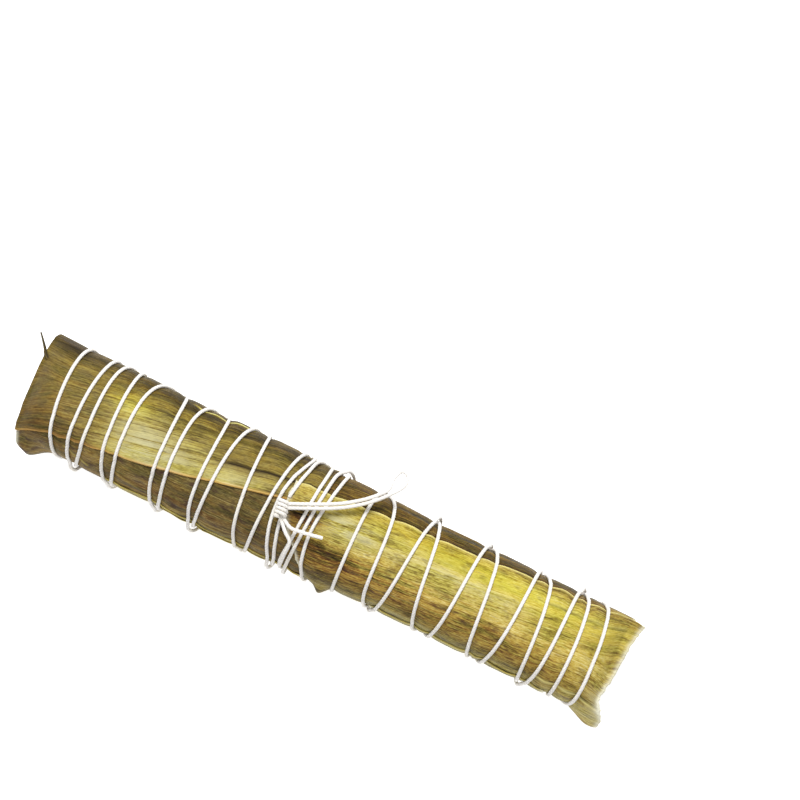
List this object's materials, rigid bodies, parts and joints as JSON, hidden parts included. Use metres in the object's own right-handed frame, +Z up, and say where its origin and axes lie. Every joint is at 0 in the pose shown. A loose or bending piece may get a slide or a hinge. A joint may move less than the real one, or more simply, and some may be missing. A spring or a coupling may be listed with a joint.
{
  "type": "red bean alkaline zongzi",
  "caption": "Long log of sticky rice wrapped in bamboo leaves and bound from end to end with white cotton string, tied in a bow on top.",
  "frame": {"origin": "under the middle of the log's box, on the surface that it lies on", "axes": "+X along the log towards the end with the torn leaf edge, +Y towards the back side, +Z up through the bow"},
  "size_m": [0.2788, 0.062, 0.0515],
  "materials": {
    "rice_log": "satin",
    "leaf_front": "satin",
    "leaf_back": "satin",
    "leaf_left": "satin",
    "leaf_right": "satin",
    "string": "matte"
  },
  "bodies": {
    "root": {"rice_log": "rice_log", "leaf_front": "leaf_front", "leaf_back": "leaf_back", "leaf_left": "leaf_left", "leaf_right": "leaf_right", "binding_string": "string"}
  },
  "joints": []
}
